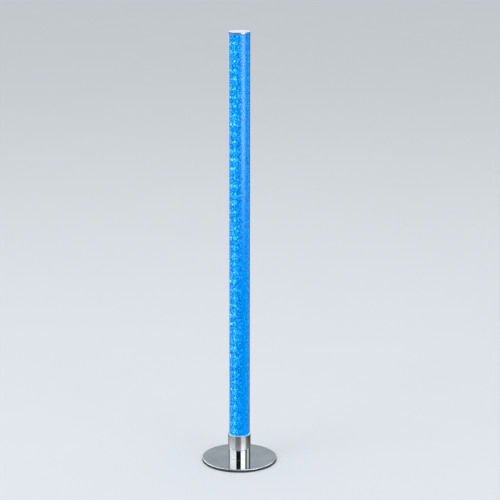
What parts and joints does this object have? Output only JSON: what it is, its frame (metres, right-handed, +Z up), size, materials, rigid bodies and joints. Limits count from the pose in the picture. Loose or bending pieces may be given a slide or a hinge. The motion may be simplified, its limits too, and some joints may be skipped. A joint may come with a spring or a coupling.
{
  "type": "bubble tube floor lamp",
  "caption": "Slim upright light column: a clear outer tube over a bubbled tube lit azure blue, thin chrome cap, satin collar and polished sleeve on a round mirror-polished foot.",
  "frame": {"origin": "middle of the foot on the floor it stands on", "axes": "+Z up along the column, the front faces -Y, the cord inlet and the push button are at the back towards +Y"},
  "size_m": [0.18, 0.18, 1.04],
  "materials": {
    "polished_chrome": "mirror polished",
    "satin_steel": "satin, brushed round the collar",
    "zinc_steel": "bright zinc plated",
    "pad_rubber": "matt foam rubber",
    "dark_moulding": "moulded, matt",
    "clear_silicone": "translucent",
    "clear_acrylic": "clear and glossy",
    "bubbled_acrylic": "clear with trapped bubbles, lit azure blue",
    "bar_aluminium": "anodised",
    "strip_film": "white lacquered film",
    "lit_diode": "lit diode",
    "component_black": "moulded epoxy",
    "lead_insulation": "smooth insulation",
    "plug_moulding": "moulded, dark blue in the glow",
    "board_laminate": "lacquered glass laminate",
    "capacitor_sleeve": "shrunk sleeve",
    "terminal_green": "moulded nylon",
    "connector_white": "moulded nylon",
    "black_nylon": "moulded nylon",
    "button_silver": "satin silver"
  },
  "bodies": {
    "lamp": {"base_plate": "polished_chrome", "base_pad": "pad_rubber", "base_screws": "zinc_steel", "chrome_sleeve": "polished_chrome", "satin_collar": "satin_steel", "socket": "dark_moulding", "tube_gasket": "clear_silicone", "outer_tube": "clear_acrylic", "bubble_tube": "bubbled_acrylic", "light_bar": "bar_aluminium", "bar_screws": "zinc_steel", "led_strips": "strip_film", "leds": "lit_diode", "strip_resistors": "component_black", "strip_leads": "lead_insulation", "top_plug": "plug_moulding", "top_gasket": "clear_silicone", "top_cap": "polished_chrome", "controller_board": "board_laminate", "board_screws": "zinc_steel", "controller_chip": "component_black", "output_transistors": "component_black", "board_capacitor": "capacitor_sleeve", "supply_terminal": "terminal_green", "strip_connectors": "connector_white", "cable_gland": "black_nylon", "gland_nut": "black_nylon", "switch_body": "component_black", "switch_spring": "zinc_steel"},
    "button": {"button_cap": "button_silver", "switch_stem": "connector_white"}
  },
  "joints": [
    {"name": "button_slide", "type": "slide", "parent": "lamp", "child": "button", "axis": [0, -1, 0], "range_m": [0, 0.0015], "stiffness_N_per_m": 600, "springref_m": -0.002, "deforming": ["switch_spring"]}
  ]
}
